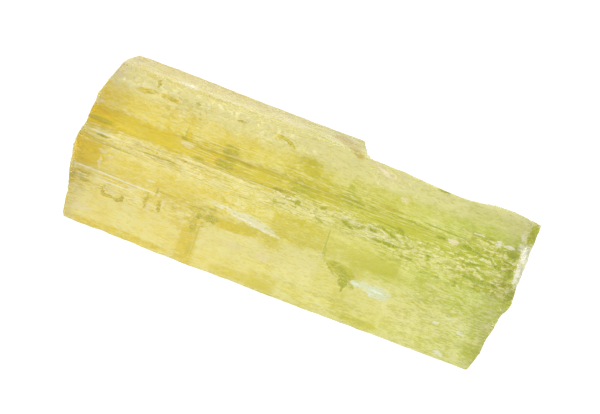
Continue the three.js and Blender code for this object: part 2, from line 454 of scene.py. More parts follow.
RUST_SPOTS = (
    (1.7, 7.55, 1.0, 0.4, 5, 1.0), (2.8, 7.35, 0.8, 0.35, -10, 0.9), (2.5, 7.15, 1.2, 0.36, -16, 1.0),
    (3.2, 6.75, 0.8, 0.3, -25, 0.8), (-11.2, 2.3, 0.35, 0.12, 0, 0.7), (9.25, 1.55, 0.45, 0.25, -35, 1.0),
    (16.0, -0.2, 0.1, 0.2, 0, 0.6), (7.9, 3.1, 1.3, 0.15, 0, 0.5),
)
DARK_SPOTS = (
    (-15.95, 5.15, 0.6, 0.14, 8, 0.5), (-13.9, 5.25, 0.6, 0.14, -8, 0.6), (-15.5, 6.2, 0.16, 0.45, 5, 0.7),
    (-11.6, 5.7, 0.3, 0.12, 0, 0.5), (-7.4, 5.65, 0.5, 0.12, 5, 0.6), (-2.9, 5.4, 0.5, 0.1, -30, 0.6),
    (-7.4, 1.6, 0.9, 0.7, 5, 0.8), (-7.3, 2.9, 0.8, 0.5, 0, 0.7), (-3.8, 1.05, 0.16, 0.12, 0, 0.9),
    (-0.2, 1.8, 1.2, 0.6, 0, 0.75), (3.9, 3.3, 0.5, 0.6, 0, 0.6), (4.5, 2.3, 0.9, 0.4, 0, 0.6),
    (-2.3, 1.15, 0.5, 0.09, 5, 0.8), (16.8, 2.05, 0.9, 0.12, -6, 1.0), (16.4, 0.72, 0.8, 0.16, -5, 0.9),
    (18.4, 1.6, 1.1, 0.16, -8, 1.0), (19.1, 2.9, 0.7, 0.4, -30, 1.0), (19.5, 1.8, 0.4, 0.7, 20, 1.0),
    (17.6, 0.55, 0.5, 0.14, -30, 0.9), (19.2, 0.2, 0.8, 0.3, 0, 0.8), (18.2, 2.9, 0.5, 0.2, -20, 0.8),
    (20.4, 5.2, 0.25, 0.5, 0, 0.8), (20.3, -0.4, 0.3, 0.6, 0, 0.7), (11.7, 6.3, 0.6, 0.12, 0, 0.8),
    (-19.0, -3.55, 0.9, 0.14, 0, 0.65), (-18.8, -4.2, 0.5, 0.18, 0, 0.6), (-20.0, -4.3, 0.3, 0.4, 0, 0.6),
    (-16.95, -4.4, 0.18, 0.45, 0, 0.7), (-16.4, -4.85, 0.6, 0.18, 0, 0.7),
    (-15.5, -4.9, 0.5, 0.16, 0, 0.65), (-15.1, -4.7, 0.18, 0.35, 0, 0.65),
    (-13.0, -3.95, 0.17, 0.85, 0, 0.6), (-11.75, -4.1, 0.2, 0.6, 3, 0.65), (-12.3, -2.9, 0.14, 0.4, 5, 0.5),
    (-11.3, -2.8, 0.9, 0.12, 0, 0.5), (-8.3, -4.6, 0.3, 0.9, 0, 0.5), (-8.0, -6.8, 0.25, 0.9, 0, 0.4),
    (-7.0, -3.5, 0.7, 0.35, 10, 0.8), (-7.9, -3.6, 0.4, 0.3, 0, 0.6), (-7.3, -2.6, 0.8, 0.12, 0, 0.5),
    (3.7, -2.8, 0.12, 0.8, 14, 0.5), (4.5, -3.75, 0.8, 0.12, -42, 0.5), (5.3, -3.5, 0.9, 0.3, -18, 0.7),
    (5.9, -3.9, 0.8, 0.45, -20, 0.8), (6.1, -4.5, 0.45, 0.5, -40, 1.0), (6.25, -5.1, 0.15, 0.4, 0, 0.9),
    (6.9, -4.3, 0.3, 0.8, 10, 0.6),
)
LIGHT_SPOTS = (
    (-11.1, 1.98, 0.55, 0.22, 0, 1.0), (14.0, 2.4, 0.5, 0.3, 0, 0.9), (-18.0, -1.2, 0.45, 0.22, 10, 0.5),
    (-18.0, -2.3, 0.16, 0.7, 10, 0.6), (-17.2, -1.5, 0.25, 0.2, 0, 0.5), (-16.4, -4.3, 0.6, 0.25, 0, 0.7),
    (-14.7, -3.4, 0.25, 0.35, -20, 0.6), (-12.7, -4.5, 0.25, 0.35, 0, 0.6),
    (-11.4, -3.6, 0.25, 0.5, 0, 0.5), (-13.1, -2.2, 0.35, 0.12, 0, 0.9), (-17.2, 2.8, 0.6, 0.2, 0, 0.5),
    (-18.4, -6.6, 0.9, 0.35, 0, 0.6), (-12.7, 4.5, 0.4, 0.5, 0, 0.5), (-8.4, -2.2, 0.5, 0.12, 10, 0.6),
    (-4.6, -5.0, 1.1, 0.22, 8, 0.6), (-1.4, -5.0, 0.7, 0.5, 10, 0.6), (1.0, 0.25, 1.2, 0.22, 0, 0.5),
    (-1.6, 0.55, 1.3, 0.25, 0, 0.6), (4.9, 1.0, 0.9, 0.28, -10, 0.9), (6.9, 0.35, 1.0, 0.22, -5, 0.8),
    # The last spot on the next line and the first two on the line after are a curved glint: painted
    # highlight.
    (8.0, 0.5, 0.6, 0.2, -5, 0.8), (-2.7, -0.4, 0.6, 0.4, 30, 0.4), (5.3, 6.35, 1.2, 0.34, -18, 1.0),
    (6.6, 5.85, 1.1, 0.4, -18, 0.9), (7.6, 6.1, 0.7, 0.35, 0, 0.6), (8.8, 4.35, 0.5, 0.3, 10, 0.7),
    (-3.4, 7.3, 2.2, 0.5, 0, 0.6), (-19.3, 6.3, 0.7, 1.0, 15, 0.6), (10.6, -5.2, 0.8, 0.5, 0, 0.3),
    (15.6, -5.8, 0.4, 0.25, 0, 0.5), (13.7, -2.1, 0.6, 0.15, 0, 0.5), (-20.0, 2.9, 0.7, 0.3, 0, 0.6),
)
WHITE_SPOTS = (
    (20.6, 3.5, 0.5, 1.1, 0, 1.0), (20.6, 2.2, 0.5, 1.2, 0, 1.0), (20.5, 1.1, 0.4, 0.7, 0, 0.9),
    (19.9, 4.0, 0.4, 0.35, 0, 0.9), (19.7, 4.9, 0.14, 0.4, 0, 0.9), (17.9, 3.7, 0.3, 0.2, 0, 1.0),
    (16.0, 3.75, 0.7, 0.07, 0, 0.7), (17.8, 3.5, 0.25, 0.25, 0, 0.9), (16.2, 1.35, 0.35, 0.13, 0, 0.9),
    (18.9, 3.65, 0.5, 0.15, 0, 1.0), (17.1, 1.75, 0.5, 0.12, 0, 0.8), (16.5, -7.6, 0.5, 0.25, -8, 1.0),
    (17.7, -5.1, 0.45, 0.16, -5, 0.9), (15.3, -5.0, 0.3, 0.14, 0, 0.8), (16.0, -4.3, 0.25, 0.12, 0, 0.6),
    # The three spots on the next line lie on a spindle-shaped flash: painted reflection of the lamp off a
    # crack under the face.
    (-6.0, -2.05, 1.6, 0.2, 0, 0.65), (-3.5, -2.35, 2.1, 0.4, -5, 0.7), (-1.7, -2.7, 1.1, 0.26, -10, 0.7),
    # The spot on the next line is a pale glint along the back edge: painted highlight.
    (-13.0, 6.98, 1.0, 0.24, 0, 0.8),
)
# The bluish flash: a painted reflection of the lamp off a thin crack under the face.
FLASH_SPOTS = (
    (7.5, -4.15, 0.8, 0.4, 5, 0.7), (9.2, -4.35, 1.3, 0.6, 0, 1.0),
)
# Straight and fine lines, in the same terms.
LIGHT_LINES = (
    (-18.3, -3.05, 2.1, 0.09, 0, 1.0), (-14.6, -3.12, 2.4, 0.06, 0, 0.9), (-16.4, -3.7, 1.6, 0.06, 1, 0.9),
    # The last line on the next line is a pale glint along the back edge: painted highlight.
    (-16.9, -3.4, 1.6, 0.04, 0, 0.6), (-18.6, 0.28, 1.2, 0.07, 0, 0.9), (-9.6, 7.05, 2.2, 0.07, 0, 0.6),
    (-1.9, 0.95, 3.6, 0.05, 0, 0.5), (3.7, -6.9, 0.9, 0.05, 14, 0.7), (5.0, -7.3, 0.6, 0.05, -20, 0.6),
    # The first two lines on the next line are the core of the spindle-shaped flash: painted reflection.
    (-3.9, -2.2, 2.0, 0.1, -4, 0.9), (-2.6, -2.6, 1.5, 0.1, -9, 0.9), (6.7, 0.32, 0.9, 0.12, -4, 0.9),
    (8.3, 0.38, 0.8, 0.13, -8, 0.9), (5.0, 0.85, 0.7, 0.14, 0, 0.8), (6.9, 1.05, 0.6, 0.12, -6, 0.8),
)
# Dark fine lines: painted shade along cracks and partings.
DARK_LINES = (
    (-8.0, 2.2, 3.2, 0.05, 1, 0.9), (-3.2, 2.4, 1.4, 0.06, 2, 0.7), (14.0, 1.4, 1.6, 0.08, 0, 0.7),
    (-16.4, -0.55, 1.5, 0.05, 0, 0.6), (-7.65, -5.9, 0.07, 2.3, 0, 0.45), (3.45, -1.6, 0.08, 1.4, 3, 0.7),
    (-3.0, 1.0, 4.6, 0.05, 0, 0.7),
)
# The darkest cracks, in the same terms, drawn over all the rest: painted shade in the cracks.
INK_LINES = (
    (4.6, 0.42, 0.6, 0.16, -22, 1.0), (5.4, 0.47, 0.6, 0.09, 3, 0.9), (5.95, 0.65, 0.25, 0.13, 20, 1.0),
    (6.9, 0.78, 0.5, 0.13, 0, 1.0), (8.3, 1.05, 1.1, 0.14, -17, 1.0), (9.3, 1.55, 0.45, 0.2, -30, 1.0),
    (8.4, 1.65, 0.7, 0.07, -4, 0.9), (8.4, 0.07, 1.4, 0.13, 3, 1.0), (-0.2, 0.68, 0.3, 0.17, 10, 1.0),
    (-1.0, 0.62, 0.8, 0.07, 4, 0.7), (2.1, 1.0, 0.3, 0.13, 20, 0.9), (2.1, -0.1, 0.45, 0.08, -15, 0.8),
    (9.6, 2.7, 2.2, 0.06, -2, 0.8), (13.0, 3.0, 2.2, 0.07, -1, 0.8), (12.9, 2.33, 0.5, 0.14, 0, 0.9),
    (15.4, 2.3, 0.7, 0.14, -3, 1.0), (16.7, 2.1, 1.0, 0.09, -8, 1.0), (15.2, 1.5, 0.8, 0.07, 0, 0.8),
    (16.4, 1.1, 1.0, 0.12, 12, 1.0), (17.0, 0.7, 0.7, 0.1, -25, 0.8), (12.35, 0.37, 0.35, 0.13, 0, 1.0),
    (17.1, -0.15, 1.3, 0.2, 0, 0.9), (15.95, -0.1, 0.2, 0.2, 0, 0.9), (18.6, -0.05, 0.2, 0.15, 0, 0.9),
    (19.4, 2.9, 0.4, 0.4, 0, 0.7), (19.75, 1.5, 0.25, 0.35, 0, 0.9), (18.4, 1.6, 0.6, 0.08, -20, 0.8),
    (20.4, -0.3, 0.3, 0.5, 0, 0.7), (-19.1, 1.35, 1.3, 0.24, 0, 0.7), (-18.4, 0.05, 0.6, 0.1, 0, 1.0),
    (-13.2, 0.0, 2.2, 0.08, 1, 0.8), (-16.4, -0.6, 2.2, 0.05, 0, 0.6), (-11.6, 2.42, 0.3, 0.12, 0, 0.8),
    (-11.6, 3.1, 0.07, 0.5, 0, 0.6), (-9.8, 1.2, 0.5, 0.14, 0, 0.8), (-7.7, 1.5, 0.6, 0.3, 0, 0.6),
    (-7.6, 2.6, 0.5, 0.2, 0, 0.6), (-8.2, -2.95, 0.7, 0.08, 0, 0.7), (-8.0, -3.6, 0.3, 0.25, 0, 0.7),
)
# Blocks between partings that cross the prism: along from and to, across from and to, and strength.
DEEP_BLOCKS = (
    (-20.6, -17.4, 0.8, 2.4, 0.9), (-14.0, -11.3, 1.0, 2.8, 0.5), (-8.9, -6.8, 1.1, 3.3, 1.0),
    (-6.8, -2.2, 1.1, 2.4, 0.7), (-2.0, 3.3, 1.3, 3.2, 1.0), (-1.0, 0.6, 3.0, 4.5, 0.85),
    (3.3, 7.5, 1.7, 3.4, 0.8), (-1.5, 3.2, -2.6, -1.0, 0.8), (3.5, 10.2, -2.8, -1.2, 0.7),
    (-7.2, -0.8, -3.9, -3.1, 0.7), (-8.9, -7.6, -8.3, -3.0, 0.9), (-20.8, -18.8, -3.0, -0.6, 0.9),
    (-18.2, -12.8, -3.6, -1.4, 0.5), (-12.8, -9.2, -3.8, -1.2, 0.6), (-10.1, -8.9, -5.0, -3.0, 0.4),
    (-10.1, -8.9, -8.0, -6.2, 0.35), (12.9, 16.8, -3.6, -1.4, 0.6), (-1.8, 0.4, -8.2, -6.5, 0.55),
    (15.4, 20.0, -0.7, 3.4, 0.8), (18.6, 20.3, -7.0, -4.0, 0.5), (14.4, 19.4, 3.9, 5.8, 0.35),
    (7.5, 10.0, -8.2, -5.6, 0.5), (5.8, 8.0, -6.8, -5.6, 0.5),
)
PALE_BLOCKS = (
    (2.2, 3.4, 3.6, 5.7, 0.7), (-7.4, -3.2, -6.0, -4.2, 0.6), (-3.2, 0.0, -5.2, -4.2, 0.5),
    (0.1, 3.4, -6.3, -3.2, 0.6), (-14.9, -13.6, -7.6, -3.4, 0.4), (-19.6, -17.9, -6.9, -5.3, 0.5),
    (10.2, 13.1, -5.6, -3.3, 0.5), (-10.9, -9.0, -1.3, 1.0, 0.4), (-7.2, 3.0, 5.8, 6.9, 0.5),
    (-19.8, -12.0, 6.0, 6.9, 0.5), (7.4, 9.0, 4.8, 6.4, 0.3), (7.0, 15.0, -5.8, -3.6, 0.4),
)
# Stretches of each kind: along from and to, and across from and to.
CRACKED = (
    (-2.0, 10.0, -0.2, 1.2), (15.5, 20.2, -0.6, 3.4),
)
CRUMBLY = (
    (9.0, 15.5, -1.2, 1.3), (15.2, 20.2, -0.9, 3.7),
)
SPECKLED = (
    (-9.5, -6.8, -4.4, -2.4), (-20.2, -18.2, -5.0, -3.2), (-14.0, -7.0, 0.0, 0.9), (11.0, 19.5, -8.0, -3.8),
    (13.0, 20.0, -3.8, -1.0), (3.3, 5.6, 2.0, 4.0), (-2.0, 1.0, 1.6, 4.6), (-14.0, -11.0, 3.6, 5.6),
    (1.0, 9.0, -8.0, -6.4), (3.5, 9.0, -0.2, 1.3),
)
RULED = (
    (-19.8, 10.0, -0.7, 0.9), (-11.5, -5.0, 1.0, 3.4), (4.0, 17.0, 1.3, 3.6), (-20.0, -14.4, -4.2, -2.9),
    (-19.0, 3.0, 6.7, 7.6), (-3.0, 3.4, 1.2, 3.2),
)
SMOOTH = (
    (-6.5, 3.5, -7.6, -3.2), (-1.8, 3.4, -3.2, -1.0), (3.6, 11.0, -8.0, -0.8), (4.5, 19.2, 3.4, 6.6),
    (-19.0, 3.3, 3.2, 6.4), (-19.0, -7.0, -7.8, -5.2), (-18.0, -9.0, -2.6, -0.9),
)


def look_down(tree, along, across):
    """The first point of a surface below a place in the leaning plane, or None beside it."""
    return tree.ray_cast(place(along, across, HIGH_UP), -UP)[0]


class Beryl(Shade):
    """The crystal's material. Its base colour is laid on in layers, each over those before it."""

    def __init__(self):
        super().__init__("Beryl")
        self.tints = tints = colours()
        self.surface = BVHTree.FromObject(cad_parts[CAD_NODE], bpy.context.evaluated_depsgraph_get())
        self.here = here = self.lean()
        self.along, self.across, _ = self.split(here)

        past = self.ramp(self.along, 3.3, 3.5)
        parted = self.math("MULTIPLY", past, self.between(self.across, -3.4, 6.2, 0.4))
        drift = self.math("MULTIPLY_ADD", self.noise(here, (0.35, 0.5, 0.5), 3), WANDER, -WANDER / 2)
        drift = self.math("MULTIPLY_ADD", parted, PARTED_STEP, drift)
        linear = self.math("MULTIPLY_ADD", self.math("ADD", self.along, drift), 1 / COLOUR_RUN, 0.5)
        self.colour = self.gradient(linear, (
            (0.0, tints.golden), (0.06, tints.yellow), (0.3, tints.yellow), (0.5, tints.lemon),
            (0.72, tints.lime), (1.0, tints.green),
        ))
        self.deep = self.gradient(linear, (
            (0.0, tints.amber), (0.1, tints.band), (0.3, tints.band), (0.5, tints.moss), (0.95, tints.fern),
        ))
        self.dark = self.gradient(linear, ((0.2, tints.olive), (0.6, tints.leaf)))
        self.ink = self.gradient(linear, ((0.4, tints.ink), (0.95, tints.pine)))

        self.flecks = self.noise(here, (1.7, 4.8, 4.8), 4, 0.85)
        self.ragged = self.ramp(self.flecks, 0.38, 0.58, 0.3, 1.4)
        self.patchy = self.noise(here, (0.9, 1.6, 1.6), 4, 0.65, (2, 6, 1))
        wobble = self.math("MULTIPLY_ADD", self.noise(here, (0.3, 0.9, 0.9), 3), 1.2, -0.6)
        self.level = self.math("ADD", self.across, wobble)
        # The trough: a band whose deeper gold is partly painted shade of the back edge seen through the
        # crystal.
        self.trough = self.between(self.level, 1.3, 2.3, 0.6)
        self.bent = self.warp(here, (1.4, 2.3, 2.3), (0.75, 0.36, 0.0))

    def lay(self, tint, *masks):
        """Mixes in a tint, as strongly as all the masks together let it."""
        self.colour = self.mix(self.fold("MULTIPLY", masks), self.colour, tint)

    def spot(self, where, along, across, long, wide, turn, strength):
        """One spot: a soft ellipsoid at the upper faces."""
        top = look_down(self.surface, along, across)
        mapping = self.node(
            "Mapping", Vector=where, Location=(along, across, read(top)[2] if top else BESIDE),
            Rotation=(0, 0, math.radians(turn)), Scale=(long * SPREAD, wide * SPREAD, SPOT_DEPTH),
        )
        mapping.vector_type = "TEXTURE"
        ball = self.node("TexGradient", Vector=mapping.outputs["Vector"])
        ball.gradient_type = "SPHERICAL"
        return self.ramp(ball.outputs["Fac"], 0.1, 0.55, 0.0, strength)

    def spots(self, where, listed):
        """The strongest of several spots."""
        return self.fold("MAXIMUM", (self.spot(where, *spot) for spot in listed))

    def ragged_spots(self, listed):
        """Spots broken up by the flecks, the fainter ones most."""
        broken = self.math("MULTIPLY", self.spots(self.bent, listed), self.ragged)
        return self.ramp(broken, 0.15, 0.8)

    def zone(self, along, across, sides, ends, soft):
        """1 inside a stretch of the crystal, fading over ends along it and over soft across it."""
        lengthways = self.between(along, sides[0], sides[1], ends)
        crossways = self.between(across, sides[2], sides[3], soft)
        return self.math("MULTIPLY", lengthways, crossways)

    def zones(self, listed, ends=1.8, soft=0.5):
        """The strongest of several stretches."""
        return self.fold(
            "MAXIMUM", (self.zone(self.along, self.across, sides, ends, soft) for sides in listed)
        )

    def winding(self, scale, shift, detail, twist):
        """Noise about its middle value: its zero line winds over the crystal as a crack does."""
        return self.math("SUBTRACT", self.noise(self.here, scale, detail, 0.55, shift, twist), 0.5)

    def clouds(self):
        """Soft clouds, the first kind longer across the crystal and the second along it."""
        ramp, pale = self.ramp, self.tints.pale
        veils = self.noise(self.here, (0.8, 0.32, 0.32), 3, 0.5, (3, 9, 4))
        self.lay(pale, ramp(veils, 0.5, 0.66, 0, 0.5))
        self.lay(self.deep, ramp(veils, 0.5, 0.34, 0, 0.4))
        cloud = self.noise(self.here, (0.28, 0.6, 0.6), 4, 0.6, (5, 2, 0))
        self.lay(pale, ramp(cloud, 0.5, 0.68, 0, 0.55))
        self.lay(self.deep, ramp(cloud, 0.5, 0.32, 0, 0.5))

    def bands(self):
        """Bands along the faces, the deepest in the trough. The trough's deep gold is partly its own and
        partly painted shade of the back edge seen through the crystal; the pale band towards the back bevel
        is partly painted sheen.
        """
        between, pale = self.between, self.tints.pale
        self.lay(self.deep, self.trough, 0.9)
        self.lay(self.deep, between(self.level, 2.6, 4.2, 0.6), 0.25)
        self.lay(pale, between(self.level, -0.2, 0.8, 0.4), 0.3)
        # Paler towards the back bevel: partly painted sheen, blending it into the hazy back face.
        self.lay(pale, between(self.level, 5.2, 7.0, 1.0), 0.95)
        self.lay(pale, self.ramp(self.level, -2.6, -4.6, 0, 0.2))

    def partings(self):
        """Deeper and paler blocks between partings."""
        shift = self.math("MULTIPLY_ADD", self.patchy, 0.6, -0.3)
        sideways = self.math("ADD", self.along, shift)
        strength = self.ramp(self.patchy, 0.3, 0.55, 0.45, 1.0)
        self.lay(self.deep, self.blocks(sideways, DEEP_BLOCKS), strength)
        self.lay(self.tints.pale, self.blocks(sideways, PALE_BLOCKS))

    def blocks(self, sideways, listed):
        """The strongest of several blocks."""
        return self.fold("MAXIMUM", (
            self.math("MULTIPLY", self.zone(sideways, self.level, sides, 0.4, 0.5), strength)
            for *sides, strength in listed
        ))

    def speckle(self):
        """Flecks drawn out along the crystal, fainter on the smooth stretches, and the trough's deeper gold
        again, partly painted shade.
        """
        power = self.math("MULTIPLY_ADD", self.zones(SMOOTH, 1.0, 0.7), -0.5, 1.0)
        outside = self.math("MULTIPLY_ADD", self.trough, -0.5, 1.0)
        self.lay(self.tints.pale, self.ramp(self.flecks, 0.5, 0.60, 0, 0.9), power, outside)
        self.lay(self.deep, self.ramp(self.flecks, 0.49, 0.39), power)
        self.lay(self.deep, self.trough, 0.6)

    def ends(self):
        """Curved ripples on the broken ends, drawn as a pale line of painted highlight beside a dark line of
        painted shade.
        """
        near = self.ramp(self.math("ABSOLUTE", self.along), 19.9, 20.3)
        ripple = self.winding((0.25, 0.45, 0.45), (8, 1, 4), 3, 1.2)
        self.lay(self.tints.pale, self.between(ripple, 0.02, 0.06, 0.03), near, 0.6)
        self.lay(self.dark, self.between(ripple, -0.03, 0.0, 0.02), near, 0.5)

    def back_edge(self):
        """Grey-gold and pale streaks along the worn back edge. The pale ones are painted glints off its
        rough face.
        """
        streak = self.noise(self.here, (0.5, 3.4, 3.4), 5, 0.7, (0, 3, 2))
        behind = self.ramp(self.across, 6.75, 7.05)
        self.lay(self.deep, self.ramp(streak, 0.56, 0.42), behind)
        self.lay(self.tints.blush, self.ramp(streak, 0.52, 0.64), behind)

    def marks(self):
        """The larger spots and lines."""
        tints = self.tints
        self.lay(self.deep, self.ragged_spots(GOLD_SPOTS))
        self.lay(tints.amber, self.ragged_spots(AMBER_SPOTS))
        self.lay(tints.stain, self.spots(self.bent, RUST_SPOTS))
        self.lay(self.dark, self.ragged_spots(DARK_SPOTS))
        self.lay(tints.blush, self.ragged_spots(LIGHT_SPOTS))
        self.lay(self.dark, self.spots(self.here, DARK_LINES))
        self.lay(tints.veil, self.spots(self.here, LIGHT_LINES))

    def cracks(self):
        """Winding cracks, and fine straight lines along the crystal. Each is a dark line of painted shade in
        the crack, with a pale line of painted highlight along one side.
        """
        between, pale = self.between, self.tints.pale
        busy = self.zones(CRACKED)
        line = self.winding((0.6, 2.2, 2.2), (3, 0, 0), 4, 0.7)
        # Painted highlight along one side of the crack, then painted shade in it.
        self.lay(pale, between(line, 0.03, 0.07, 0.02), busy)
        self.lay(self.dark, between(line, -0.012, 0.012, 0.012), busy)
        ruled = self.zones(RULED, 1.2, 0.3)
        line = self.winding((0.13, 3.6, 3.6), (1, 7, 0), 3, 0.1)
        # The same for the straight lines: a painted glint, then painted shade.
        self.lay(pale, between(line, 0.03, 0.07, 0.02), ruled, 0.5)
        self.lay(self.dark, between(line, -0.02, 0.01, 0.015), ruled, 0.5)

    def crumbs(self):
        """Dark grains and gaps, and pale crumbs between them. The grains' darkness is their own; the dark in
        the gaps between them is painted shade.
        """
        speckled = self.math("MULTIPLY", self.zones(SPECKLED, 1.0, 0.4), 0.45)
        amount = self.math("MAXIMUM", self.zones(CRUMBLY), speckled)
        amount = self.math("MULTIPLY", amount, self.ramp(self.patchy, 0.38, 0.54, 0.15, 1.0))
        rim, own = self.cells(self.stretch(self.bent, (1.7, 4.6, 4.6)))
        grain = self.math("MULTIPLY", self.ramp(own, 0.42, 0.30), self.ramp(rim, 0.02, 0.14))
        # Painted shade in the gaps between grains.
        gap = self.math("MULTIPLY", self.ramp(rim, 0.10, 0.01), 0.6)
        self.lay(self.dark, self.math("MAXIMUM", grain, gap), amount)
        self.lay(self.tints.pale, self.ramp(own, 0.66, 0.80, 0, 0.9), self.ramp(rim, 0.02, 0.2), amount)

    def last_marks(self):
        """The darkest cracks, the bluish film and the white marks, over all the rest. The cracks' darkness
        is painted shade, the bluish film is a painted reflection, and some white marks are painted
        highlights.
        """
        crooked = self.warp(self.here, (1.8, 3.5, 3.5), (0.5, 0.25, 0.0))
        self.lay(self.ink, self.spots(crooked, INK_LINES))
        self.lay(self.tints.flash, self.ragged_spots(FLASH_SPOTS))
        self.lay(self.tints.veil, self.ragged_spots(WHITE_SPOTS))


def beryl_material():
    beryl = Beryl()
    for layer in (
        beryl.clouds, beryl.bands, beryl.partings, beryl.speckle, beryl.ends, beryl.back_edge, beryl.marks,
        beryl.cracks, beryl.crumbs, beryl.last_marks,
    ):
        layer()
    fine = beryl.noise(beryl.here, (0.9, 3.0, 3.0), 4, 0.65)
    pits = beryl.noise(beryl.here, (2.2, 4.0, 4.0), 4, 0.8)
    normal = beryl.bump(fine, 0.07 * MM, 0.7)
    rough = beryl.fold("ADD", (
        beryl.ramp(pits, 0.4, 0.65, 0.12, 0.22), beryl.ramp(beryl.across, 6.4, 7.0, 0, 0.15),
        beryl.ramp(beryl.along, 19.4, 20.4, 0, 0.15), beryl.ramp(beryl.along, -19.4, -20.4, 0, 0.1),
    ))
    beryl.set(
        Base_Color=beryl.colour,
        Transmission_Weight=SEE_THROUGH,
        IOR=BERYL_IOR,
        Roughness=rough,
        Normal=beryl.bump(pits, 0.10 * MM, 0.8, Normal=normal),
    )
    beryl.depth(DEPTH_TINT, DEPTH_DENSITY)
    return beryl.material


def mottled(name, scale, detail, rough, patches, roughness, **painted_glow):
    """An opaque material that goes from one colour to another in patches. Emission given with it is painted
    light.
    """
    shade = Shade(name)
    mottle = shade.noise(shade.lean(), scale, detail, rough)
    colour = shade.mix(shade.ramp(mottle, 0.35, 0.65), *patches)
    shade.set(Base_Color=colour, Roughness=roughness, Normal=shade.bump(mottle, 0.05 * MM, 0.5), **painted_glow)
    return shade.material


def veil_material():
    """The droplets and gas films of healed fractures, and the growth tubes. Their faint emission is painted
    light that stands in for the light they scatter inside the crystal.
    """
    patches = (0.96, 0.93, 0.76), (1.0, 0.99, 0.95)
    painted_glow = {"Emission_Color": (1.0, 0.97, 0.86), "Emission_Strength": 0.25}
    return mottled("Healed fracture", (1.4, 1.4, 1.4), 4, 0.7, patches, 0.45, **painted_glow)


def flash_material():
    """A thin film in a crack under the face. Its bluish white and its emission are a painted reflection of
    the lamp off that crack.
    """
    patches = (0.78, 0.95, 1.0), (0.96, 1.0, 0.95)
    painted_glow = {"Emission_Color": (0.85, 1.0, 0.95), "Emission_Strength": 0.3}
    return mottled("Bluish film", (1.2, 1.8, 1.8), 4, 0.7, patches, 0.35, **painted_glow)


def stain_material():
    """Iron stain on old cracks and in tubes."""
    patches = (0.70, 0.46, 0.06), (0.90, 0.70, 0.22)
    return mottled("Iron stain", (1.1, 1.8, 1.8), 5, 0.75, patches, 0.6)


# ---- What is sealed in ----


class Skin:
    """The surface of the finished crystal, for putting things in just under it."""

    def __init__(self):
        self.tree = BVHTree.FromObject(bpy.data.objects["crystal"], bpy.context.evaluated_depsgraph_get())

    def under(self, along, across, depth):
        """The point so many millimetres under the skin, or None off the crystal."""
        hit = look_down(self.tree, along, across)
        return hit - UP * depth * MM if hit else None

    def cover(self, point):
        """How deep a point lies inside the nearest skin, in metres."""
        spot, normal, _, _ = self.tree.find_nearest(point)
        return (spot - point).dot(normal)

    def holds(self, point, margin):
        """Whether a point lies inside, at least margin millimetres from the skin."""
        return self.cover(point) > margin * MM


def axes(turn, dip):
    """Three directions for a sealed-in film: its length, its width and its normal.

    It lies along the crystal facing up, turned about the upward direction and then tipped about its length.
    """
    first = Matrix.Rotation(math.radians(turn), 3, UP) @ Vector((1, 0, 0))
    second = Matrix.Rotation(math.radians(dip), 3, first) @ UP.cross(first)
    return first, second, first.cross(second)


def add_droplets(bm, skin, rng, veil):
    """Flattened droplets scattered over one healed fracture, closest together in its middle."""
    along, across, depth, long, wide, turn, dip, count = veil
    centre = skin.under(along, across, depth)
    first, second, third = axes(turn, dip)
    part = bmesh.new()
    for _ in range(count):
        reach = rng.random() ** 0.6
        angle = rng.uniform(0, 2 * math.pi)
        u, v = reach * math.cos(angle), reach * math.sin(angle)
        rise = 0.35 * noise.noise(Vector((u * 2 + along, v * 2 + across, depth))) + rng.uniform(-0.08, 0.08)
        spot = centre + (first * u * long + second * v * wide + third * rise) * MM
        radius = sizes().droplet_size * rng.uniform(0.45, 1.25)
        if not skin.holds(spot, 0.12 + radius / MM):
            continue
        spin = Matrix.Rotation(rng.uniform(0, math.pi), 4, "Z")
        squash = Matrix.Diagonal((rng.uniform(1.0, 2.2), rng.uniform(0.5, 1.0), 0.4, 1))
        stand = Matrix((first, second, third)).transposed().to_4x4()
        matrix = Matrix.Translation(spot) @ stand @ spin @ squash
        bmesh.ops.create_icosphere(part, subdivisions=1, radius=radius, matrix=matrix)
    join(bm, part)


def join(bm, part):
    """Adds a bmesh to another."""
    mesh = take_mesh("part", part)
    bm.from_mesh(mesh)
    bpy.data.meshes.remove(mesh)


def add_tubes(bm, skin, rng, bundle):
    """Growth tubes along the crystal, in one bundle."""
    low, high, under, over, shallow, deep, count, short, long = bundle
    part = bmesh.new()
    for _ in range(count):
        spot = skin.under(rng.uniform(low, high), rng.uniform(under, over), rng.uniform(shallow, deep))
        length = rng.uniform(short, long) * MM
        ends = [spot + Vector((side * length / 2, 0, 0)) for side in (-1, 1)] if spot else []
        if not ends or not all(skin.holds(end, 0.15) for end in ends):
            continue
        radius = sizes().tube_size * rng.uniform(0.6, 1.3)
        lie = Matrix.Rotation(math.radians(90 + rng.uniform(-1, 1)), 4, "Y")
        matrix = Matrix.Translation(spot) @ Matrix.Rotation(math.radians(rng.uniform(-1, 1)), 4, "Z") @ lie
        bmesh.ops.create_cone(
            part, cap_ends=True, segments=TUBE_SIDES, radius1=radius, radius2=radius * 0.4, depth=length,
            matrix=matrix,
        )
    join(bm, part)


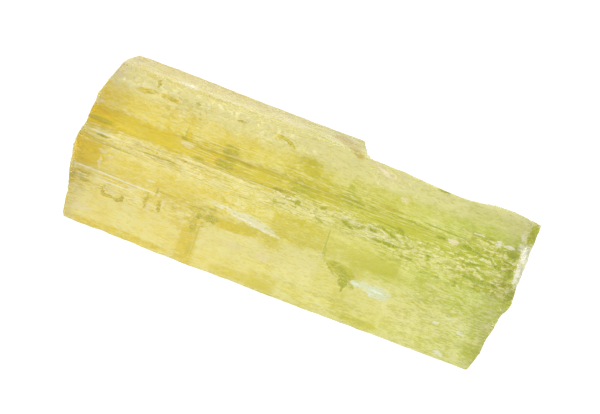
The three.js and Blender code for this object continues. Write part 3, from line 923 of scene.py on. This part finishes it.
def add_film(bm, skin, film):
    """One thin curved film with a ragged rim."""
    along, across, depth, long, wide, turn, dip, taper, seed = film
    centre = skin.under(along, across, depth)
    first, second, third = axes(turn, dip)
    part = bmesh.new()
    bmesh.ops.create_grid(part, x_segments=FILM_GRID[0], y_segments=FILM_GRID[1], size=1)
    for vert in part.verts:
        u = vert.co.x * math.sqrt(1 - vert.co.y ** 2 / 2)
        v = vert.co.y * math.sqrt(1 - vert.co.x ** 2 / 2)
        wild = noise.noise(Vector((u * 2.2 + seed, v * 2.2, seed * 1.7))) * 0.6
        wild += noise.noise(Vector((u * 6 + seed, v * 6, seed * 0.7))) * 0.4
        u *= 1 + wild * 0.5
        v *= (1 + wild) * (1 - taper * min(1, abs(u)) ** 1.5)
        rise = 0.22 * min(long, wide) * noise.noise(Vector((u * 1.5, v * 1.5, seed))) - 0.1 * wide * v * v
        vert.co = centre + (first * u * long + second * v * wide + third * rise) * MM
    bmesh.ops.solidify(part, geom=part.faces[:], thickness=sizes().film_thickness)
    bmesh.ops.recalc_face_normals(part, faces=part.faces)
    sunk = max(0.0, max(FILM_COVER - skin.cover(vert.co) for vert in part.verts))
    bmesh.ops.translate(part, verts=part.verts, vec=-UP * sunk)
    join(bm, part)


def make_tubes(name, seed, bundles, material):
    """One piece of tubes, from its bundles."""
    skin, rng, bm = Skin(), random.Random(seed), bmesh.new()
    for bundle in bundles:
        add_tubes(bm, skin, rng, bundle)
    finish_piece(name, bm, material)


def make_films(name, skin, films, material):
    """One piece of films."""
    bm = bmesh.new()
    for film in films:
        add_film(bm, skin, film)
    finish_piece(name, bm, material)


# Healed fractures: along, across, depth, half length, half width, turn, dip and number of droplets.
VEILS = (
    (-2.0, 0.3, 0.5, 5.6, 0.7, 0, 10, 260), (-13.5, 0.3, 0.5, 4.8, 0.9, 0, 0, 170),
    (8.0, 1.0, 0.5, 4.6, 1.3, -3, 8, 260), (14.5, 1.0, 0.5, 3.6, 1.6, 0, -6, 220),
    (18.2, 1.8, 0.6, 1.8, 2.2, 0, 12, 150), (16.0, -4.2, 0.9, 2.4, 1.5, 5, 15, 150),
    (15.5, -2.0, 0.8, 3.4, 1.1, 0, -8, 110), (9.5, -6.0, 0.8, 4.0, 1.2, 2, 10, 90),
    (-16.5, 5.6, 0.5, 2.6, 0.9, 0, 6, 90), (-8.0, 6.0, 0.5, 6.5, 0.5, 0, 0, 110),
    (-2.0, 5.2, 0.6, 4.0, 1.0, 0, 14, 80), (-13.0, 4.0, 0.8, 5.0, 1.3, 3, -12, 90),
    (-15.0, -3.7, 0.7, 3.6, 1.0, 0, 0, 130), (-8.6, -3.6, 0.7, 2.2, 1.1, 0, 20, 110),
    (-3.4, -3.6, 0.8, 3.0, 0.7, -4, 0, 80), (1.5, -5.6, 0.9, 4.0, 1.9, 4, 8, 110),
    (-14.0, -1.8, 0.7, 4.5, 0.9, 0, -10, 90), (-4.0, -1.2, 0.6, 4.0, 0.6, 0, 0, 80),
    (8.5, 5.0, 0.7, 4.4, 1.2, -4, 10, 80), (3.4, 1.4, 1.6, 1.2, 4.6, 90, 70, 90),
    (-7.7, -5.6, 1.4, 1.0, 2.4, 90, 65, 60), (-10.0, -2.0, 4.5, 6.0, 2.6, 10, 30, 120),
    (6.0, -1.0, 5.0, 6.5, 3.0, -12, -25, 130), (14.0, 2.0, 4.0, 4.0, 2.6, 30, 20, 90),
    (-17.0, 1.0, 3.5, 2.6, 3.0, 40, -25, 90),
)
# Bundles of tubes: along, across and depth, each from and to, then number, and length from and to.
TUBES = (
    (-18.5, -4.5, -0.9, 0.9, 0.2, 0.8, 80, 1.2, 4.5), (-18.0, 3.0, 1.0, 2.9, 0.2, 0.8, 40, 0.8, 2.6),
    (4.5, 19.0, -0.3, 3.6, 0.2, 0.8, 90, 0.5, 2.0), (-17.0, 18.0, 3.2, 6.2, 0.2, 1.2, 60, 0.5, 1.8),
    (-18.0, 1.0, 6.7, 7.7, 0.2, 0.5, 40, 0.6, 2.0), (-17.5, -12.5, -4.2, -2.9, 0.2, 0.5, 22, 0.8, 2.6),
    (-16.0, 17.0, -7.4, -1.0, 0.3, 2.5, 90, 0.4, 1.6),
    (-19.6, -12.0, -3.12, -2.98, 0.2, 0.25, 12, 1.6, 3.2),
)
STAINED_TUBES = (
    (-19.0, -5.0, 0.9, 2.7, 0.3, 1.0, 46, 0.8, 2.6), (-18.5, -9.0, -0.5, 0.6, 0.3, 0.8, 22, 1.0, 3.0),
    (-5.0, 12.0, 0.4, 2.7, 0.3, 1.0, 40, 0.6, 2.2), (-18.0, -8.5, -5.0, -2.6, 0.3, 0.8, 22, 0.4, 1.2),
)
# Films: along, across, depth, half length, half width, turn, dip, taper and seed.
PALE_FILMS = (
    # The two films on the next line and the first on the line after lie in the crack under the
    # spindle-shaped flash. Their white and emission are partly a painted reflection.
    (-4.4, -2.36, 0.35, 1.4, 0.1, -4, 8, 0.8, 1.0), (-6.3, -2.1, 0.3, 0.9, 0.06, 2, 0, 0.6, 2.0),
    (-2.3, -2.7, 0.3, 1.0, 0.1, -8, 0, 0.6, 3.0), (-11.5, 2.0, 0.3, 0.5, 0.2, 0, 0, 0.0, 4.0),
    # The last film on the next line lies under the curved glint. Its white is partly a painted highlight.
    (13.8, 2.4, 0.3, 0.55, 0.28, 10, 0, 0.2, 5.0), (6.2, 5.9, 0.3, 0.9, 0.16, -22, 0, 0.5, 6.0),
    # The two films on the next line lie under the pale glints along the back edge. Their white is partly a
    # painted highlight.
    (-12.9, 6.95, 0.25, 0.9, 0.14, 0, 0, 0.4, 9.0), (-8.3, 6.95, 0.25, 1.1, 0.1, 0, 0, 0.4, 10.0),
    (16.5, -7.3, 0.35, 0.45, 0.16, -8, 0, 0.2, 12.0), (3.4, -7.0, 0.35, 0.7, 0.07, 12, 0, 0.5, 13.0),
    (4.8, -7.2, 0.35, 0.7, 0.07, -8, 0, 0.5, 14.0), (18.0, 3.65, 0.25, 1.5, 0.1, 2, 0, 0.3, 15.0),
    (1.4, 0.35, 0.35, 1.0, 0.1, 3, 0, 0.5, 16.0), (5.6, 0.6, 0.35, 0.9, 0.16, 8, 0, 0.5, 19.0),
    (7.9, 0.75, 0.35, 1.0, 0.13, -10, 0, 0.5, 20.0), (9.9, 0.9, 0.35, 0.9, 0.16, 6, 0, 0.5, 21.0),
    (3.5, -2.0, 0.6, 1.4, 0.12, 86, 25, 0.3, 22.0), (4.5, -3.8, 0.6, 1.1, 0.12, 130, 25, 0.3, 23.0),
    (12.0, 3.2, 0.35, 0.8, 0.14, 4, 0, 0.3, 24.0), (20.25, 3.3, 0.2, 0.3, 0.8, 0, 0, 0.0, 25.0),
    (20.2, 1.6, 0.2, 0.3, 0.9, 0, 0, 0.0, 26.0),
)
# Films where the bluish flash shows: real thin cracks, whose bright bluish white and emission are a painted
# reflection.
BLUISH_FILMS = (
    (7.3, -4.2, 0.3, 0.45, 0.13, 6, 6, 0.2, 31.0), (9.2, -4.2, 0.3, 0.7, 0.16, -6, 4, 0.2, 32.0),
    (8.8, -4.6, 0.35, 0.4, 0.1, 0, 4, 0.2, 33.0),
)


# ---- The studio ----


def set_floor():
    """Plain white paper that is bright in itself."""
    bm = bmesh.new()
    bmesh.ops.create_grid(bm, x_segments=1, y_segments=1, size=FLOOR_REACH)
    bmesh.ops.translate(bm, verts=bm.verts, vec=(0, 0, -FLOOR_GAP))
    floor = add_object("floor", take_mesh("floor", bm))
    paper = Shade("White paper")
    paper.set(Base_Color=(0.1,) * 3, Roughness=0.9, Emission_Color=(1, 1, 1), Emission_Strength=GLOW)
    floor.data.materials.append(paper.material)


def set_light(scene):
    """White all round, and one lamp from behind on the left."""
    world = bpy.data.worlds.new("Soft light")
    scene.world = world
    world.use_nodes = True
    world.node_tree.nodes["Background"].inputs["Color"].default_value = (1, 1, 1, 1)
    world.node_tree.nodes["Background"].inputs["Strength"].default_value = GLOW
    lamp = bpy.data.lights.new("lamp", "AREA")
    lamp.shape = "RECTANGLE"
    lamp.size, lamp.size_y = LAMP_SIZE
    lamp.energy = LAMP_POWER
    turn = LAMP_AT.to_track_quat("Z", "Y").to_matrix().to_4x4()
    add_object("lamp", lamp).matrix_world = Matrix.Translation(LAMP_AT) @ turn


def set_camera(scene):
    """A long lens, high in front, with the picture turned so that the crystal falls to the right."""
    data = bpy.data.cameras.new("camera")
    data.lens = LENS
    data.sensor_width = SENSOR
    data.clip_start = 0.01
    data.clip_end = 10
    scene.camera = add_object("camera", data)
    right = Vector((1, 0, 0))
    up = Vector((0, math.sin(CAMERA_HEIGHT), math.cos(CAMERA_HEIGHT)))
    back = Vector((0, -math.cos(CAMERA_HEIGHT), math.sin(CAMERA_HEIGHT)))
    turned_right = right * math.cos(CAMERA_ROLL) + up * math.sin(CAMERA_ROLL)
    turned_up = up * math.cos(CAMERA_ROLL) - right * math.sin(CAMERA_ROLL)
    distance = FRAME_WIDTH * LENS / SENSOR
    middle = place(0, 0, read(Vector((0, 0, CAD_HIGH.z * AIM)))[2])
    at = middle + back * distance + turned_right * CAMERA_SHIFT[0] + turned_up * CAMERA_SHIFT[1]
    stand = Matrix((turned_right, turned_up, back)).transposed().to_4x4()
    scene.camera.matrix_world = Matrix.Translation(at) @ stand


# ---- Operators ----


class BERYL_OT_crystal(bpy.types.Operator):
    """Finishes the crystal itself"""

    bl_idname = "beryl.crystal"
    bl_label = "Crystal"

    def execute(self, context):
        piece = finish_piece("crystal", crystal_bmesh(), beryl_material())
        piece.data.shade_smooth()
        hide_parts(CAD_NODE)
        return {"FINISHED"}


class BERYL_OT_fractures(bpy.types.Operator):
    """Seals in the healed fractures, as droplets and as thin films"""

    bl_idname = "beryl.fractures"
    bl_label = "Healed fractures"

    def execute(self, context):
        skin = Skin()
        rng = random.Random(11)
        bm = bmesh.new()
        for veil in VEILS:
            add_droplets(bm, skin, rng, veil)
        material = veil_material()
        finish_piece("fracture_droplets", bm, material)
        make_films("fracture_films", skin, PALE_FILMS, material)
        make_films("fracture_flash", skin, BLUISH_FILMS, flash_material())
        return {"FINISHED"}


class BERYL_OT_tubes(bpy.types.Operator):
    """Seals in the fine growth tubes that run along the crystal"""

    bl_idname = "beryl.tubes"
    bl_label = "Growth tubes"

    def execute(self, context):
        make_tubes("growth_tubes", 23, TUBES, veil_material())
        return {"FINISHED"}


class BERYL_OT_stains(bpy.types.Operator):
    """Seals in the iron-stained tubes"""

    bl_idname = "beryl.stains"
    bl_label = "Iron stains"

    def execute(self, context):
        make_tubes("iron_stains", 37, STAINED_TUBES, stain_material())
        return {"FINISHED"}


class BERYL_OT_stage(bpy.types.Operator):
    """Sets out the white floor, the soft light and the camera"""

    bl_idname = "beryl.stage"
    bl_label = "Studio"

    def execute(self, context):
        set_floor()
        set_light(context.scene)
        set_camera(context.scene)
        context.scene.view_settings.view_transform = "Standard"
        return {"FINISHED"}


OPERATORS = (BERYL_OT_crystal, BERYL_OT_fractures, BERYL_OT_tubes, BERYL_OT_stains, BERYL_OT_stage)


class BERYL_PT_panel(bpy.types.Panel):
    """Lists the makers of the crystal and its studio"""

    bl_idname = "BERYL_PT_panel"
    bl_label = "Golden Beryl"
    bl_space_type = "VIEW_3D"
    bl_region_type = "UI"
    bl_category = "Golden Beryl"

    def draw(self, context):
        for operator in OPERATORS:
            self.layout.operator(operator.bl_idname)


CLASSES = (BerylSizes, BerylColours, *OPERATORS, BERYL_PT_panel)


def register():
    for cls in CLASSES:
        bpy.utils.register_class(cls)
    bpy.types.Scene.beryl_sizes = bpy.props.PointerProperty(type=BerylSizes)
    bpy.types.Scene.beryl_colours = bpy.props.PointerProperty(type=BerylColours)


def unregister():
    del bpy.types.Scene.beryl_colours
    del bpy.types.Scene.beryl_sizes
    for cls in reversed(CLASSES):
        bpy.utils.unregister_class(cls)


def main():
    register()
    for operator in OPERATORS:
        getattr(bpy.ops.beryl, operator.bl_idname.split(".")[1])()


if __name__ == "__main__":
    main()
